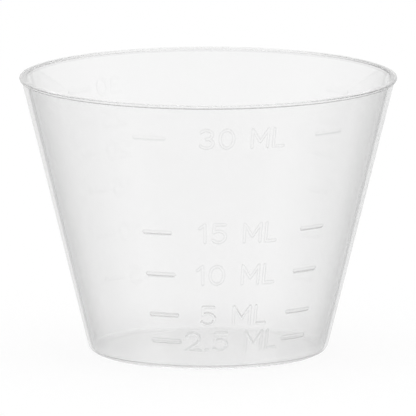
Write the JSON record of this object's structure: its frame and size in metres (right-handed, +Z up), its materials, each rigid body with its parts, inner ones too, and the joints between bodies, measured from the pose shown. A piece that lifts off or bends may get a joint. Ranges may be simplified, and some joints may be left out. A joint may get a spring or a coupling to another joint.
{
  "type": "medicine cup",
  "caption": "Small tapered dosing cup of translucent plastic, with a thin wall, a beaded rim, a flat foot and raised fill lines on two sides.",
  "frame": {"origin": "centre of the flat foot, on the surface that the cup stands on", "axes": "+Z up along the cup's axis; -Y is the middle of the front, where the front scale is; +X is to the right as seen from in front"},
  "size_m": [0.0466, 0.0466, 0.0342],
  "materials": {
    "cup_plastic": "translucent natural polypropylene, satin"
  },
  "bodies": {
    "root": {"medicine_cup": "cup_plastic"}
  },
  "joints": []
}
